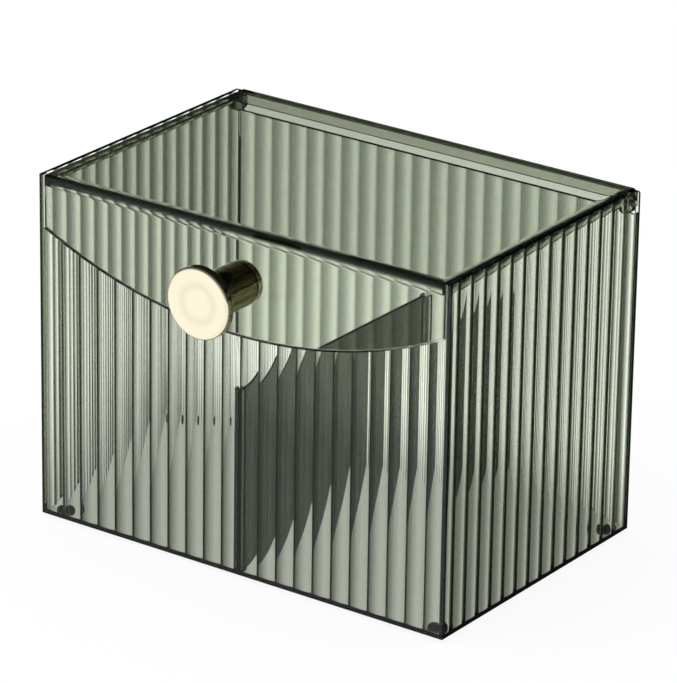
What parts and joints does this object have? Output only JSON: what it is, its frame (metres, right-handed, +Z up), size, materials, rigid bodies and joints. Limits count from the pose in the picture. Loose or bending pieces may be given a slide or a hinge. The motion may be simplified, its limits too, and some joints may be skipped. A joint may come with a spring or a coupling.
{
  "type": "makeup organizer box",
  "caption": "Fluted clear plastic box with a smooth hinged lid, arched front apron, gold pull knob and a lift-out divider, on small rubber feet.",
  "frame": {"origin": "under the middle of the whole object's box, knob included, on the surface that the feet stand on", "axes": "+X to the right along the front, +Y from the front to the back, +Z up"},
  "size_m": [0.225, 0.1808, 0.1685],
  "materials": {
    "clear_plastic": "clear smoky grey-green, polished",
    "gold_metal": "gold anodised, polished",
    "brass_bush": "turned",
    "steel": "plain bright",
    "rubber_pad": "matt"
  },
  "bodies": {
    "box": {"box_body": "clear_plastic", "hinge_pin_left": "steel", "hinge_pin_right": "steel", "foot_front_left": "rubber_pad", "foot_front_right": "rubber_pad", "foot_back_left": "rubber_pad", "foot_back_right": "rubber_pad"},
    "lid": {"lid": "clear_plastic", "knob": "gold_metal", "knob_insert": "brass_bush", "knob_screw": "steel", "knob_washer": "gold_metal"},
    "divider": {"divider": "clear_plastic"}
  },
  "joints": [
    {"name": "lid_hinge", "type": "hinge", "parent": "box", "child": "lid", "pos_m": [0, 0.08555, 0.1628], "axis": [-1, 0, 0], "range_deg": [0, 105]},
    {"name": "divider_lift", "type": "slide", "parent": "box", "child": "divider", "axis": [0, 0, 1], "range_m": [0, 0.038]}
  ]
}
